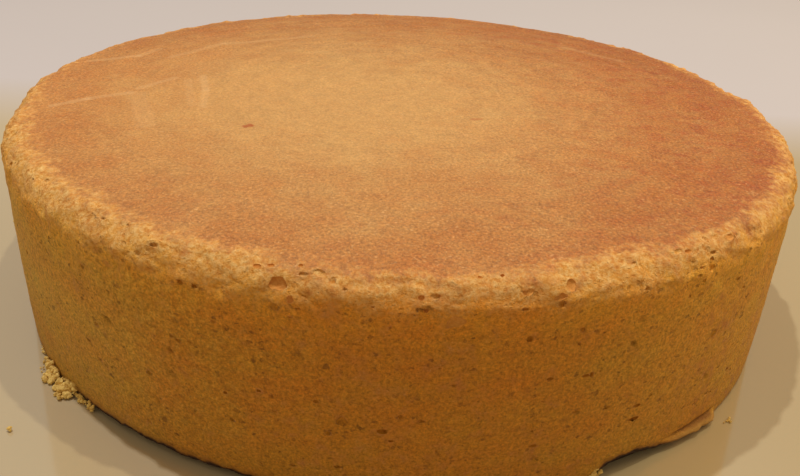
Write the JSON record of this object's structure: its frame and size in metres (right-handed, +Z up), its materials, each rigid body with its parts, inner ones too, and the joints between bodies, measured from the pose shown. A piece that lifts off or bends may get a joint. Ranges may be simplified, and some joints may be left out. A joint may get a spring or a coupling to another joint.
{
  "type": "sponge cake",
  "caption": "Whole round sponge cake, bare and uncut, with a browned top, a pale torn rim and a golden porous wall.",
  "frame": {"origin": "middle of the cake's box in plan, at the surface that it rests on", "axes": "+Z up, -Y the side that faces the camera in the picture, +X to its right"},
  "size_m": [0.2346, 0.234, 0.0603],
  "materials": {
    "sponge": "baked sponge: matt golden crumb on the wall, thin browned skin on the top, pale torn edge at the rim"
  },
  "bodies": {
    "root": {"cake": "sponge"}
  },
  "joints": []
}
